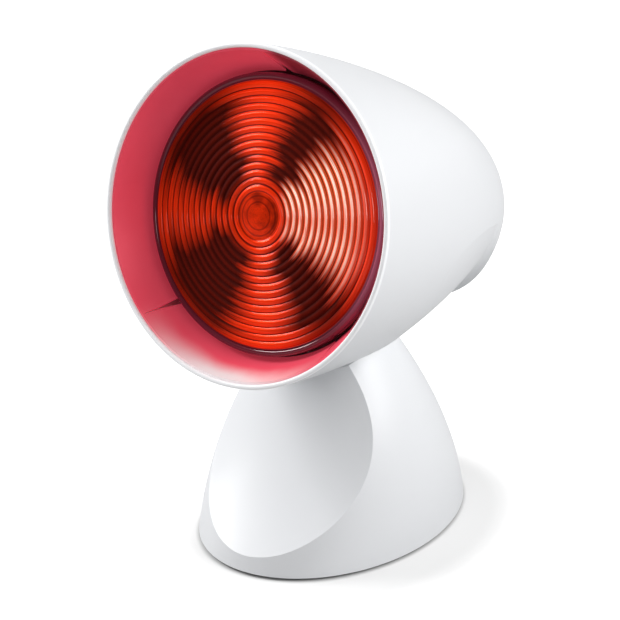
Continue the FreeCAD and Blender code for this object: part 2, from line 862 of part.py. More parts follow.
def make_hinge_yoke():
    base_top = deck_top + yoke_thickness
    yoke = block(V(-ear_outer(), yoke_front, deck_top), V(ear_outer(), yoke_back, base_top))
    for side in (-1, 1):
        x = min(side * ear_inner(), side * ear_outer())
        centre = V(x, pivot_y, pivot_z)
        eye = rod(ear_radius, centre, centre + V(ear_thickness, 0, 0))
        foot = [V(x, yoke_front, deck_top), V(x, yoke_back, deck_top), V(x, yoke_back, base_top)]
        turn = math.radians(ear_web_angle)
        crown = [V(x, pivot_y + ear_radius * math.cos(turn), pivot_z + ear_radius * math.sin(turn)),
                 V(x, pivot_y - ear_radius, pivot_z)]
        web = Part.Face(Part.makePolygon(foot + crown + foot[:1])).extrude(V(ear_thickness, 0, 0))
        yoke = yoke.fuse(eye).fuse(web)
    across = V(ear_outer() + overrun, 0, 0)
    pivot = V(0, pivot_y, pivot_z)
    yoke = yoke.cut(rod(pivot_radius + pivot_fit, pivot - across, pivot + across))
    for point in yoke_screw_points(deck_top - overrun):
        yoke = yoke.cut(rod(screw_radius + screw_fit, point, point + V(0, 0, 4 * overrun)))
    return yoke.removeSplitter()


def make_yoke_screws():
    under = deck_top - deck_thickness
    length = deck_thickness + yoke_thickness
    return Part.makeCompound([screw(point, V(0, 0, 1), length) for point in yoke_screw_points(under)])


def pivot_point(x):
    return V(x, pivot_y, pivot_z)


def nut_start():
    return ear_outer() + spring_washer_thickness


def make_pivot_bolt():
    head = rod(bolt_head_radius, pivot_point(ear_outer()), pivot_point(ear_outer() + bolt_head_height))
    socket = hexagon(bolt_head_radius / 2, ear_outer() + bolt_head_height / 2, bolt_head_height)
    shank = rod(pivot_radius, pivot_point(-nut_start() - nut_height - bolt_end), pivot_point(ear_outer()))
    return head.cut(socket).fuse(shank).removeSplitter()


def hexagon(radius, x, length):
    """Hexagonal bar along X from x on the hinge's axis."""
    corners = [V(x, pivot_y + radius * math.cos(math.radians(60 * corner)),
                 pivot_z + radius * math.sin(math.radians(60 * corner))) for corner in range(6)]
    return Part.Face(Part.makePolygon(corners + corners[:1])).extrude(V(length, 0, 0))


def make_pivot_nut():
    nut = hexagon(bolt_head_radius, -nut_start() - nut_height, nut_height)
    return nut.cut(rod(pivot_radius + pivot_fit, pivot_point(-2 * nut_start()), pivot_point(0)))


def make_spring_washer():
    disc = rod(bolt_head_radius, pivot_point(-nut_start()), pivot_point(-ear_outer()))
    return disc.cut(rod(pivot_radius + pivot_fit, pivot_point(-2 * nut_start()), pivot_point(0)))


def make_friction_washers():
    washers = []
    for side in (-1, 1):
        inner = pivot_point(side * (ear_inner() - friction_washer_thickness))
        disc = rod(friction_washer_radius, inner, pivot_point(side * ear_inner()))
        hole = rod(pivot_radius + pivot_fit, pivot_point(0), pivot_point(side * nut_start()))
        washers.append(disc.cut(hole))
    return Part.makeCompound(washers)


head_makers = {
    "hood_shell": make_hood_shell,
    "reflector_liner": make_reflector_liner,
    "bulb_lens": make_bulb_lens,
    "bulb_bowl": make_bulb_bowl,
    "filament": make_filament,
    "filament_posts": make_filament_posts,
    "heat_shield": make_heat_shield,
    "screw_cap": make_screw_cap,
    "cap_insulator": make_cap_insulator,
    "cap_contact": make_cap_contact,
    "lampholder_body": make_lampholder_body,
    "lampholder_shell": make_lampholder_shell,
    "lampholder_contact": make_lampholder_contact,
    "lampholder_terminals": make_lampholder_terminals,
    "lampholder_plate": make_lampholder_plate,
    "lampholder_screws": make_lampholder_screws,
    "plate_screws": make_plate_screws,
    "head_lead": make_head_lead,
}
stand_makers = {
    "stand_shell": make_stand_shell,
    "base_plate": make_base_plate,
    "base_screws": make_base_screws,
    "cable_gland": make_cable_gland,
    "terminal_block": make_terminal_block,
    "terminal_screws": make_terminal_screws,
    "block_screws": make_block_screws,
    "stand_lead": make_stand_lead,
    "lead_grommet": make_lead_grommet,
    "hinge_yoke": make_hinge_yoke,
    "yoke_screws": make_yoke_screws,
    "pivot_bolt": make_pivot_bolt,
    "pivot_nut": make_pivot_nut,
    "spring_washer": make_spring_washer,
    "friction_washers": make_friction_washers,
}

os.makedirs("parts", exist_ok=True)
for name, make in head_makers.items():
    nodes[name] = to_world(make())
for name, make in stand_makers.items():
    nodes[name] = make()
foot_names = ("foot_front_right", "foot_rear_right", "foot_front_left", "foot_rear_left")
for name, point in zip(foot_names, foot_points()):
    nodes[name] = make_foot(point)
for name, shape in nodes.items():
    shape.exportStep(f"parts/{name}.step")
    box = shape.BoundBox
    print(f"{name:22s} solids {len(shape.Solids):2d} valid {shape.isValid()} volume {shape.Volume:10.1f} "
          f"y {box.YMin:7.1f} {box.YMax:7.1f} z {box.ZMin:7.1f} {box.ZMax:7.1f}")
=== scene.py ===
# %% [markdown]
# # A table-top infrared lamp
# The lamp is a white moulded hood that holds a red reflector bulb and tilts on a scooped stand. The solid
# model comes from CAD and is the fixed frame of this scene. Blender gives every piece its finish, and makes
# again the few pieces whose small relief is worth more faces: the ringed lens and the cross-slot screws.

# %% Load the frame
import math

import bmesh
import bpy
from mathutils import Matrix, Vector


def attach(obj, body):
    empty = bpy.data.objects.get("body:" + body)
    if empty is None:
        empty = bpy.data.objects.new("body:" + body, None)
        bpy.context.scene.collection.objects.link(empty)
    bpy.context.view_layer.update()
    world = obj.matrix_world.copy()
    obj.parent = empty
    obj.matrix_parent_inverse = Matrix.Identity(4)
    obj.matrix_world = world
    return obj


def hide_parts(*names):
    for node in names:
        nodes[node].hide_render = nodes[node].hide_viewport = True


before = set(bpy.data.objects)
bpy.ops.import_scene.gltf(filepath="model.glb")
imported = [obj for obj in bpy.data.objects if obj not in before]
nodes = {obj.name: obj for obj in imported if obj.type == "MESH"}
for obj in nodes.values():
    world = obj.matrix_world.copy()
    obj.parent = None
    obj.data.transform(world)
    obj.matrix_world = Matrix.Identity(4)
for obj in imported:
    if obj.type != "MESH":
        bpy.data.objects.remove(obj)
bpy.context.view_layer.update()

# %% [markdown]
# ## The camera
# The camera stands to the right of the lamp, a little above the hood, and far enough away that the hood
# keeps its true proportions. Its place was found by laying the outlines of the solids over the photograph.

# %% Camera
scene = bpy.context.scene


def aim(thing, place, target):
    """Put a camera or a lamp at a place, looking at a target, without roll."""
    thing.location = place
    thing.rotation_euler = (Vector(target) - Vector(place)).to_track_quat("-Z", "Y").to_euler()


camera_place = (0.43134, -0.63992, 0.40709)
camera_target = (0.0064, -0.0292, 0.1130)
optics = bpy.data.cameras.new("photo_camera")
optics.sensor_width = 36.0
optics.lens = 104.75
camera = bpy.data.objects.new("photo_camera", optics)
scene.collection.objects.link(camera)
aim(camera, camera_place, camera_target)
scene.camera = camera
print("camera distance:", round((camera.location - Vector(camera_target)).length, 3), "m")

# %% [markdown]
# ## Sums on sockets
# A finish is a small calculation that runs for each point of a surface. Wiring it node by node is slow to
# read, so one class wraps a socket and lets Python's own operators add the Math nodes. Its `node` method
# makes any other node from its type, its settings and the values of its sockets.


# %% A socket that can be added and multiplied
class Sum:
    """An output socket of a node tree. Operators on it add Math nodes to the tree."""

    def __init__(self, tree, socket=None):
        self.tree = tree
        self.socket = socket

    def node(self, kind, settings=None, inputs=None, out=0):
        made = self.tree.nodes.new(kind)
        for key, value in (settings or {}).items():
            setattr(made, key, value)
        for key, value in (inputs or {}).items():
            if isinstance(value, Sum):
                self.tree.links.new(value.socket, made.inputs[key])
            else:
                made.inputs[key].default_value = value
        return Sum(self.tree, made.outputs[out])

    def maths(self, operation, *values):
        return self.node("ShaderNodeMath", {"operation": operation}, dict(enumerate(values)))

    def __add__(self, other):
        return self.maths("ADD", self, other)

    __radd__ = __add__

    def __sub__(self, other):
        return self.maths("SUBTRACT", self, other)

    def __rsub__(self, other):
        return self.maths("SUBTRACT", other, self)

    def __mul__(self, other):
        return self.maths("MULTIPLY", self, other)

    __rmul__ = __mul__

    def __truediv__(self, other):
        return self.maths("DIVIDE", self, other)

    def __pow__(self, other):
        return self.maths("POWER", self, other)


def step(value, low, high):
    """0 below low, 1 above high, smooth between them."""
    return value.node("ShaderNodeMapRange", {"interpolation_type": "SMOOTHSTEP"},
                      {"Value": value, "From Min": low, "From Max": high})


def mixed(mask, first, second):
    """Colour that goes from first to second as the mask goes from 0 to 1."""
    pair = {0: mask, 6: first if isinstance(first, Sum) else (*first, 1.0),
            7: second if isinstance(second, Sum) else (*second, 1.0)}
    return mask.node("ShaderNodeMix", {"data_type": "RGBA"}, pair, out=2)


print("operators:", [name for name in dir(Sum) if name.startswith("__r")])

# %% [markdown]
# ## Starting and closing a finish
# Every finish starts as an empty material and ends at the sockets of its Principled shader. Each could wire
# that shader by hand, but then a constant easily ends up in a node of its own, which the export may drop. One
# helper does it for all: what varies is linked, and what is the same all over is set on the socket.


# %% A new finish
def new_finish(name):
    """An empty material, and a Sum to build its nodes with."""
    material = bpy.data.materials.new(name)
    material.use_nodes = True
    return material, Sum(material.node_tree)


def close(material, **sockets):
    """Set or link the shader's sockets; an underscore in a name stands for a space."""
    shader = material.node_tree.nodes["Principled BSDF"]
    for name, value in sockets.items():
        socket = shader.inputs[name.replace("_", " ")]
        if isinstance(value, Sum):
            material.node_tree.links.new(value.socket, socket)
        else:
            socket.default_value = (*value, 1.0) if isinstance(value, tuple) else value
    return material


def noise(place, scale, detail=2.0, roughness=0.5):
    return place.node("ShaderNodeTexNoise", {},
                      {"Vector": place, "Scale": scale, "Detail": detail, "Roughness": roughness})


def bump(height, strength, distance):
    return height.node("ShaderNodeBump", {},
                       {"Height": height, "Strength": strength, "Distance": distance})


def dress(material, *names):
    """Give CAD nodes a finish."""
    for name in names:
        nodes[name].data.materials.clear()
        nodes[name].data.materials.append(material)
    print(material.name, "->", ", ".join(names))


# %% [markdown]
# ## White mouldings
# Hood and stand are white plastic from a polished mould: glossy, but with a faint waviness from the way
# thick and thin walls shrink, and a very fine grain. A plain white shader would look like paper. So waves and
# grain go into the normal, cloudy patches into the roughness, and a breath of grey lies where the surface
# looks up, as fine dust does.

# %% Moulded plastic
cloud_scale, wave_scale, grain_scale = 22.0, 55.0, 2400.0
dust_tint = (0.965, 0.965, 0.97)


def moulded_plastic(name, colour, roughness, grain, waviness):
    material, start = new_finish(name)
    place = start.node("ShaderNodeTexCoord", out="Object")
    clouds = noise(place, cloud_scale, 3.0)
    grains = noise(place, grain_scale, 1.0)
    waves = noise(place, wave_scale, 1.0)
    normal = start.node("ShaderNodeNewGeometry", out="Normal")
    upward = start.node("ShaderNodeSeparateXYZ", {}, {0: normal}, out=2)
    dust = step(upward, 0.35, 1.0) * step(clouds, 0.45, 0.75)
    shade = tuple(value * tint for value, tint in zip(colour, dust_tint))
    tone = mixed(0.6 * clouds + 0.4 * dust, colour, shade)
    rough = roughness + 0.10 * (clouds - 0.5) + 0.06 * dust
    height = waves * waviness + grains * grain
    return close(material, Base_Color=tone, Roughness=rough, Normal=bump(height, 0.25, 0.0004),
                 Coat_Weight=0.10, Coat_Roughness=0.20)


cool_white, off_white = (0.85, 0.862, 0.882), (0.74, 0.745, 0.755)
hood_white = moulded_plastic("hood_white", cool_white, 0.44, 0.10, 0.25)
dress(hood_white, "hood_shell")
dress(moulded_plastic("stand_white", cool_white, 0.46, 0.10, 0.25), "stand_shell")
dress(moulded_plastic("base_off_white", off_white, 0.56, 0.9, 0.15), "base_plate")

# %% [markdown]
# ## The head's own axes
# The bulb, its liner and its cap are round about one axis, which the tilt of the head takes out of line with
# the world. A Mapping node set to Texture undoes that tilt, so a pattern can be written in depth behind the
# mouth, distance from the axis and angle round it.

# %% Coordinates along and round the bulb
mouth = Vector((0.0, -0.0716, 0.1667))
head_tilt = math.radians(-12.5)
head_place = Matrix.Translation(mouth) @ Matrix.Rotation(head_tilt, 4, "X")


def round_the_bulb(start):
    """Depth behind the mouth and distance from the axis in millimetres, and the angle in turns."""
    place = start.node("ShaderNodeTexCoord", out="Object")
    level = start.node("ShaderNodeMapping", {"vector_type": "TEXTURE"},
                       {"Vector": place, "Location": tuple(mouth), "Rotation": (head_tilt, 0.0, 0.0)})
    x, y, z = (start.node("ShaderNodeSeparateXYZ", {}, {0: level}, out=axis) for axis in range(3))
    reach = start.maths("SQRT", x * x + z * z)
    angle = start.maths("ARCTAN2", x, z) / math.tau
    return place, y * 1000.0, reach * 1000.0, angle


def lathe_lines(start, depth, angle, fine, coarse):
    """Long thin streaks round the axis, as a spinning tool leaves them."""
    strip = start.node("ShaderNodeCombineXYZ", {}, {0: depth * fine, 1: angle * coarse})
    return noise(strip, 1.0, 3.0, 0.6)


def sector(angle, middle, half, soft):
    """1 in a sector round the axis, 0 outside, with a soft edge; sizes in degrees, the angle in turns."""
    turn = angle.maths("FRACT", angle + (0.5 - middle / 360.0))
    away = angle.maths("ABSOLUTE", turn - 0.5) * 360.0
    return 1.0 - step(away, half - soft, half + soft)


print("head axes turned by", round(math.degrees(head_tilt), 1), "degrees")

# %% [markdown]
# ## The hood's lip, with painted light
# Where the hood's wall thins out to its rounded lip, the lip is kept pale with painted light: a weak emission
# on the first two millimetres behind the mouth makes it glow, so it stays pale even on the side that is
# turned away from the lamps. White plastic is not quite opaque, and subsurface scattering could let some
# light through the thin wall, but it is slow and would soften the whole hood.

# %% Painted light in the lip
black = (0.0, 0.0, 0.0)
lip_full, lip_end = 0.8, 2.4
lip_depth = round_the_bulb(Sum(hood_white.node_tree))[1]
# painted light: the first millimetres of the lip glow with a weak emission
painted_lip_glow = mixed(step(lip_depth, lip_full, lip_end), (1.0, 0.98, 0.98), black)
close(hood_white, Emission_Color=painted_lip_glow, Emission_Strength=0.20)
print("lip of", hood_white.name, "lit to a depth of", lip_end, "mm")

# %% [markdown]
# ## The crimson liner
# A thin sheet of bright metal lines the hood's mouth, under a clear red lacquer. Pure metal would mirror the
# dark gap beside the bulb, so the shader is metal only in part: the lacquer scatters most of the light, and a
# thin coat on top gives the soft shine. Faint streaks of the polishing wheel run round it. Random smears vary
# the red, and the colour is painted darker deeper behind the mouth, as painted shade. The right side is
# painted wine red, also a painted shade. At the bottom of the lip the sheet is painted pale, as painted
# light. A weak emission stands for the light that goes to and fro between liner and bulb.

# %% Liner
# sectors of painted shade (wine, on the right) and painted light (pale, at the bottom): middle, half width
# and soft edge in degrees
painted_shade_sector, painted_light_sector = (62.0, 59.0, 4.0), (181.0, 25.0, 22.0)


def lacquered_sheet(name, colour, deep, painted_wine_shade, painted_pale_light, roughness):
    material, start = new_finish(name)
    place, depth, _, angle = round_the_bulb(start)
    streaks = lathe_lines(start, depth, angle, 6.0, 9.0)
    smears = noise(place, 45.0, 3.0)
    # random smears, and painted shade: the tone darkens deeper behind the mouth
    tone = mixed(0.7 * smears + 0.3 * step(depth, 12.0, 24.0), colour, deep)
    # painted light: the bottom of the lip is painted pale
    painted_pale_mask = sector(angle, *painted_light_sector) * (1.0 - step(depth + 6.0 * smears, 5.0, 17.0))
    # painted shade: the right side is painted wine red
    tone = mixed(sector(angle, *painted_shade_sector), tone, painted_wine_shade)
    tone = mixed(painted_pale_mask, tone, painted_pale_light)
    rough = roughness + 0.10 * (streaks - 0.5) + 0.08 * (smears - 0.5)
    return close(material, Base_Color=tone, Metallic=0.15, Roughness=rough,
                 Normal=bump(streaks, 0.06, 0.0001), Coat_Weight=0.3, Coat_Roughness=0.20,
                 Emission_Color=tone, Emission_Strength=0.30)


lacquer = {"colour": (0.90, 0.095, 0.150), "deep": (0.74, 0.056, 0.098), "painted_wine_shade": (0.24, 0.018, 0.034),
           "painted_pale_light": (0.84, 0.76, 0.77)}
dress(lacquered_sheet("liner_crimson", **lacquer, roughness=0.36), "reflector_liner")

# %% [markdown]
# ## The ringed lens
# The front of the bulb is pressed from ruby glass: a low dome with a plain bulge in the middle and fifteen
# rings around it, each a small rounded ridge with a sharp valley. A round bead closes the rim. A turned dome
# is made first, with faces fine enough to hold a ridge. A Geometry Nodes tree then presses the rings in,
# because they follow one rule.

# %% A turned form
lens_rim, lens_flange, lens_rise, lens_radius = 17.0, 3.0, 2.8, 60.5
ring_start, ring_end, ring_count, ring_height = 10.3, 57.0, 15, 0.70
boss_rise, bowl_bore, back_hollow, bead = 0.8, 56.0, 5.0, 1.5
lens_sides, boss_steps, ridge_steps, back_steps = 288, 12, 14, 6


def turned(outline, sides):
    """A closed form turned about the head's axis from (depth, radius) points, in head millimetres."""
    form = bmesh.new()
    rings = []
    for depth, radius in outline:
        if radius == 0.0:
            rings.append([form.verts.new((0.0, depth, 0.0))] * sides)
        else:
            angles = (math.tau * side / sides for side in range(sides))
            rings.append([form.verts.new((radius * math.sin(turn), depth, radius * math.cos(turn)))
                          for turn in angles])
    for first, second in zip(rings, rings[1:]):
        for side in range(sides):
            corners = (first[side - 1], first[side], second[side], second[side - 1])
            form.faces.new(list(dict.fromkeys(corners)))
    return form


def lens_dome(radius):
    bulge = boss_rise * max(1.0 - (radius / ring_start) ** 2, 0.0)
    return lens_rim - lens_rise * (1.0 - (radius / ring_end) ** 2) - bulge


pitch = (ring_end - ring_start) / ring_count
front_radii = [ring_start * count / boss_steps for count in range(boss_steps)]
front_radii += [ring_start + pitch * count / ridge_steps for count in range(ring_count * ridge_steps + 1)]
outline = [(lens_dome(radius), radius) for radius in front_radii]
bead_turns = [math.radians(degrees) for degrees in range(-75, 91, 15)]
outline += [(lens_rim + bead - bead * math.cos(turn), lens_radius - bead + bead * math.sin(turn))
            for turn in bead_turns]
lens_back = lens_rim + lens_flange
outline += [(lens_back, lens_radius), (lens_back, bowl_bore)]
outline += [(lens_back - back_hollow * (1.0 - (share / back_steps) ** 2), bowl_bore * share / back_steps)
            for share in reversed(range(back_steps))]
form = turned(outline, lens_sides)
bmesh.ops.recalc_face_normals(form, faces=form.faces)
dome = bpy.data.meshes.new("lens_dome")
form.to_mesh(dome)
form.free()
print("lens dome:", len(dome.polygons), "faces, ring pitch", round(pitch, 2), "mm")

# %% The tree that presses the rings
front_skin = 1.5


def ring_press():
    """Lift the points within a thin skin at the lens's front into ridges, one for each pitch."""
    tree = bpy.data.node_groups.new("Pressed rings", "GeometryNodeTree")
    tree.interface.new_socket("Geometry", in_out="OUTPUT", socket_type="NodeSocketGeometry")
    tree.interface.new_socket("Geometry", in_out="INPUT", socket_type="NodeSocketGeometry")
    for name in ("First ring", "Last ring", "Pitch", "Height"):
        tree.interface.new_socket(name, in_out="INPUT", socket_type="NodeSocketFloat")
    tree.interface.new_socket("Glass", in_out="INPUT", socket_type="NodeSocketMaterial")
    start = Sum(tree)
    sizes = start.node("NodeGroupInput")
    given = sizes.socket.node.outputs
    blank, first, last, gap, height, glass = (Sum(tree, given[place]) for place in range(6))
    place = start.node("GeometryNodeInputPosition")
    x, depth, z = (start.node("ShaderNodeSeparateXYZ", {}, {0: place}, out=axis) for axis in range(3))
    reach = start.maths("SQRT", x * x + z * z)
    wave = start.maths("ABSOLUTE", start.maths("SINE", (reach - first) / gap * math.pi))
    ringed = start.maths("GREATER_THAN", reach, first) * start.maths("LESS_THAN", reach, last)
    before_rim = start.maths("LESS_THAN", depth, lens_rim + 0.01)
    over_dome = depth - reach * reach * (lens_rise / ring_end ** 2)
    before_back = start.maths("LESS_THAN", over_dome, lens_rim - lens_rise + front_skin)
    lift = wave * ringed * (before_rim * before_back) * height * -1.0
    offset = start.node("ShaderNodeCombineXYZ", {}, {1: lift})
    pressed = start.node("GeometryNodeSetPosition", {}, {"Geometry": blank, "Offset": offset})
    real = start.node("GeometryNodeRealizeInstances", {}, {0: pressed})
    painted = start.node("GeometryNodeSetMaterial", {}, {"Geometry": real, "Material": glass})
    end = tree.nodes.new("NodeGroupOutput")
    tree.links.new(painted.socket, end.inputs[0])
    return tree


def grown(name, base, tree, values):
    """Run a Geometry Nodes tree on a mesh and keep its result as a plain mesh object."""
    maker = bpy.data.objects.new(name + "_maker", base)
    scene.collection.objects.link(maker)
    modifier = maker.modifiers.new("tree", "NODES")
    modifier.node_group = tree
    inputs = (item for item in tree.interface.items_tree if item.in_out == "INPUT")
    identifiers = {item.name: item.identifier for item in inputs}
    for key, value in values.items():
        modifier[identifiers[key]] = value
    ready = maker.evaluated_get(bpy.context.evaluated_depsgraph_get())
    mesh = bpy.data.meshes.new_from_object(ready)
    maker.modifiers.remove(modifier)
    bpy.data.objects.remove(maker)
    piece = bpy.data.objects.new(name, mesh)
    scene.collection.objects.link(piece)
    return piece


# %% [markdown]
# ## Ruby glass, with painted reflections
# Behind the red glass lies the silvered bowl, so light that enters comes back red. The bowl and the supports
# inside send it back in four bright fields with dark ones between them. Here these fields are painted
# reflections, written into the colour as sectors round the axis, and at each ring the edge of a field jumps a
# little. Within the bright fields, streaks along the rings are darker, and the left side is painted darker,
# as painted shade. The valleys between the ridges are painted darker too, also a painted shade. A clear coat
# gives glints on the ridges of the right field, and the colour there holds a warm painted reflection with
# thin pale arcs that are painted highlights. The bead outside the rings has no mirror behind it and stays
# wine red, with a painted highlight on the right. Real glass over a mirror would need many light paths to
# come out clean. So a weak emission stands for the light that comes back, and it is painted stronger at the
# top, under the hood, and on the pale arcs.

# %% Lens glass
# each painted dark reflection field: its middle and its half width, in degrees clockwise from the top
painted_dark_fields = ((26.0, 16.0), (134.0, 18.0), (-143.0, 29.0), (-54.0, 28.0))


def ruby_glass(name, bright, shadow, valley_shade_colour, warm_painted_reflection, glint, flange, painted_highlight_flange):
    material, start = new_finish(name)
    place, _, reach, angle = round_the_bulb(start)
    count = (reach - ring_start) / pitch
    phase = start.maths("ABSOLUTE", start.maths("SINE", count * math.pi))
    ringed = step(reach, ring_start - 0.3, ring_start + 0.3)
    ringed = ringed * (1.0 - step(reach, ring_end - 0.3, ring_end + 0.1))
    # painted shade: the valleys between the ridges are darker
    painted_valley_shade = (1.0 - step(phase, 0.08, 0.72 - 0.30 * step(reach, 16.0, 46.0))) * ringed
    number = start.maths("FLOOR", count)
    jump = start.node("ShaderNodeTexWhiteNoise", {"noise_dimensions": "1D"}, {"W": number})
    strands = lathe_lines(start, reach, angle, 2.2, 16.0)
    shifted = angle + 0.035 * (jump - 0.5) + 0.045 * (strands - 0.5)
    # painted reflection: the dark fields between the bright ones
    painted_dark_reflection = 0.0
    for middle, half in painted_dark_fields:
        painted_dark_reflection = sector(shifted, middle, half, 16.0) + painted_dark_reflection
    painted_dark_reflection = painted_dark_reflection * step(reach, 12.0, 20.0) * (1.0 - 0.30 * step(reach, 48.0, ring_end))
    painted_dark_reflection = painted_dark_reflection * (0.95 + 0.4 * strands)
    painted_dark_reflection = start.maths("MINIMUM", painted_dark_reflection, 1.0) * (1.0 - 0.04 * step(phase, 0.55, 0.95))
    boss = 1.0 - step(reach, ring_start - 0.6, ring_start)
    swirl = boss * step(noise(place, 130.0, 2.0), 0.42, 0.66)
    line = start.maths("ABSOLUTE", start.maths("ABSOLUTE", reach - 7.2) - 1.3)
    lines = boss * (1.0 - step(line, 0.10, 0.55))
    window = sector(shifted, 82.0, 23.0, 17.0) * step(reach, 11.0, 18.0)
    # painted reflection: the warm orange of the bright right field
    streaks = sector(shifted, 62.0, 19.0, 13.0) + 0.8 * sector(shifted, 101.0, 14.0, 13.0)
    streaks = streaks * step(reach, 11.0, 18.0) * (1.0 - step(reach, 42.0, 56.0))
    # painted highlights: thin pale arcs on the ridges of the right field
    painted_glint_arcs = streaks * step(phase, 0.70, 0.97) * step(strands, 0.26, 0.52)
    rim = step(reach, ring_end + 0.05, ring_end + 0.4)
    seeds = noise(place, 500.0, 2.0)
    # painted shade on the left side, and darker streaks along the rings within the painted bright fields
    deep = step(strands, 0.42, 0.82) + 0.45 * sector(angle, -92.0, 28.0, 26.0)
    tone = mixed(deep, bright, tuple(value * 0.62 for value in bright))
    tone = mixed(0.9 * streaks, tone, warm_painted_reflection)
    tone = mixed(0.95 * painted_glint_arcs, tone, glint)
    tone = mixed(0.97 * painted_dark_reflection + 0.55 * swirl, tone, shadow)
    tone = mixed(0.92 * painted_valley_shade * (1.0 - 0.45 * window) + 0.5 * lines, tone, valley_shade_colour)
    tone = mixed(rim, tone, flange)
    # painted highlight: the bead is lighter on the right
    tone = mixed(0.8 * rim * sector(angle, 84.0, 34.0, 26.0), tone, painted_highlight_flange)
    # painted light: the glow is stronger at the top, under the hood, and on the pale arcs
    painted_top_light = sector(angle, 0.0, 26.0, 40.0) * step(reach, 14.0, 44.0)
    painted_glow_mask = start.maths("MINIMUM", painted_top_light + 1.2 * painted_glint_arcs, 1.0)
    glow = mixed(0.5 + 0.3 * boss - 0.5 * painted_glow_mask, tone, black)
    rough = 0.30 + 0.10 * (seeds - 0.5) + 0.35 * painted_dark_reflection - 0.18 * rim
    clear = 0.06 * (1.0 - painted_dark_reflection) + 0.44 * window
    silver = 0.30 * (1.0 - painted_dark_reflection) * (1.0 - 0.7 * rim)
    return close(material, Base_Color=tone, Metallic=silver, Roughness=rough,
                 Normal=bump(seeds, 0.06, 0.0002), Coat_Weight=clear + 0.3 * rim * (1.0 - clear),
                 Coat_Roughness=0.06, Coat_IOR=2.0, Specular_IOR_Level=0.04,
                 Emission_Color=glow, Emission_Strength=0.54)


ruby = {"bright": (0.90, 0.034, 0.003), "shadow": (0.028, 0.002, 0.001), "valley_shade_colour": (0.045, 0.002, 0.001),
        "warm_painted_reflection": (0.98, 0.125, 0.030), "glint": (1.0, 0.80, 0.67),
        "flange": (0.11, 0.008, 0.019), "painted_highlight_flange": (0.42, 0.10, 0.17)}
ring_sizes = {"First ring": ring_start, "Last ring": ring_end, "Pitch": pitch, "Height": ring_height,
              "Glass": ruby_glass("lens_ruby", **ruby)}
to_metres = Matrix.Scale(0.001, 4)
lens = grown("lens", dome, ring_press(), ring_sizes)
lens.data.transform(head_place @ to_metres)
lens.data.shade_smooth()
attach(lens, "head")
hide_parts("bulb_lens")
print("lens:", len(lens.data.polygons), "faces")

# %% [markdown]
# ## Cross-slot screws
# Six pan-head screws hold the base plate and the terminal block, sunk in round wells, and their heads show
# from below. One screw is turned and a cross is cut into its head with a Boolean. A Geometry Nodes tree then
# puts a copy on each place and turns it by a seeded angle, because no two screws stop at the same angle.

# %% One screw
def carved(name, body, tool):
    """A new mesh: the body with the tool's shape taken out of it."""
    pair = []
    for part in (body, tool):
        mesh = bpy.data.meshes.new(name)
        bmesh.ops.recalc_face_normals(part, faces=part.faces)
        part.to_mesh(mesh)
        part.free()
        pair.append(bpy.data.objects.new(name, mesh))
        scene.collection.objects.link(pair[-1])
    cut = pair[0].modifiers.new("cut", "BOOLEAN")
    cut.operation, cut.solver, cut.object = "DIFFERENCE", "EXACT", pair[1]
    ready = pair[0].evaluated_get(bpy.context.evaluated_depsgraph_get())
    mesh = bpy.data.meshes.new_from_object(ready)
    for thing in pair:
        bpy.data.objects.remove(thing)
    return mesh


def cross_slot(arm, width, deep):
    """A cross-shaped bar that stands out in front of the head and ends at a depth inside it."""
    half = [(arm, width), (width, width), (width, arm), (-width, arm), (-width, width), (-arm, width)]
    corners = half + [(-x, -z) for x, z in half]
    form = bmesh.new()
    face = form.faces.new([form.verts.new((x, -1.0, z)) for x, z in corners])
    moved = bmesh.ops.extrude_face_region(form, geom=[face])["geom"]
    bmesh.ops.translate(form, verts=[part for part in moved if isinstance(part, bmesh.types.BMVert)],
                        vec=(0.0, 1.0 + deep, 0.0))
    return form


head_high, head_radius, shank_radius, screw_sides = 1.5, 3.0, 1.5, 48
slot_arm, slot_half_width, slot_deep = 1.7, 0.36, 1.0


def pan_head_screw(name, length):
    """A screw in millimetres, its head's face at the origin looking down, its shank pointing up."""
    outline = [(0.0, 0.0), (0.0, 2.1), (0.08, 2.5), (0.3, 2.8), (0.6, 2.95), (0.9, head_radius)]
    outline += [(head_high, head_radius), (head_high, shank_radius)]
    outline += [(head_high + length, shank_radius), (head_high + length, 0.0)]
    slot = cross_slot(slot_arm, slot_half_width, slot_deep)
    mesh = carved(name, turned(outline, screw_sides), slot)
    mesh.transform(Matrix.Rotation(math.pi / 2.0, 4, "X"))
    screw = bpy.data.objects.new(name, mesh)
    print(name, len(mesh.polygons), "faces")
    return screw


# %% A screw on each place
def screw_placer():
    tree = bpy.data.node_groups.new("Screws on places", "GeometryNodeTree")
    tree.interface.new_socket("Geometry", in_out="OUTPUT", socket_type="NodeSocketGeometry")
    for name, kind in (("Geometry", "NodeSocketGeometry"), ("Screw", "NodeSocketObject"),
                       ("Seed", "NodeSocketInt"), ("Steel", "NodeSocketMaterial")):
        tree.interface.new_socket(name, in_out="INPUT", socket_type=kind)
    start = Sum(tree)
    given = start.node("NodeGroupInput")
    places, screw, seed, steel = (Sum(tree, given.socket.node.outputs[place]) for place in range(4))
    copy = start.node("GeometryNodeObjectInfo", {}, {"Object": screw}, out="Geometry")
    turn = start.node("FunctionNodeRandomValue", {"data_type": "FLOAT_VECTOR"},
                      {0: (0.0, 0.0, 0.0), 1: (0.0, 0.0, math.tau), "Seed": seed})
    copies = start.node("GeometryNodeInstanceOnPoints", {},
                        {"Points": places, "Instance": copy, "Rotation": turn})
    real = start.node("GeometryNodeRealizeInstances", {}, {0: copies})
    painted = start.node("GeometryNodeSetMaterial", {}, {"Geometry": real, "Material": steel})
    end = tree.nodes.new("NodeGroupOutput")
    tree.links.new(painted.socket, end.inputs[0])
    return tree


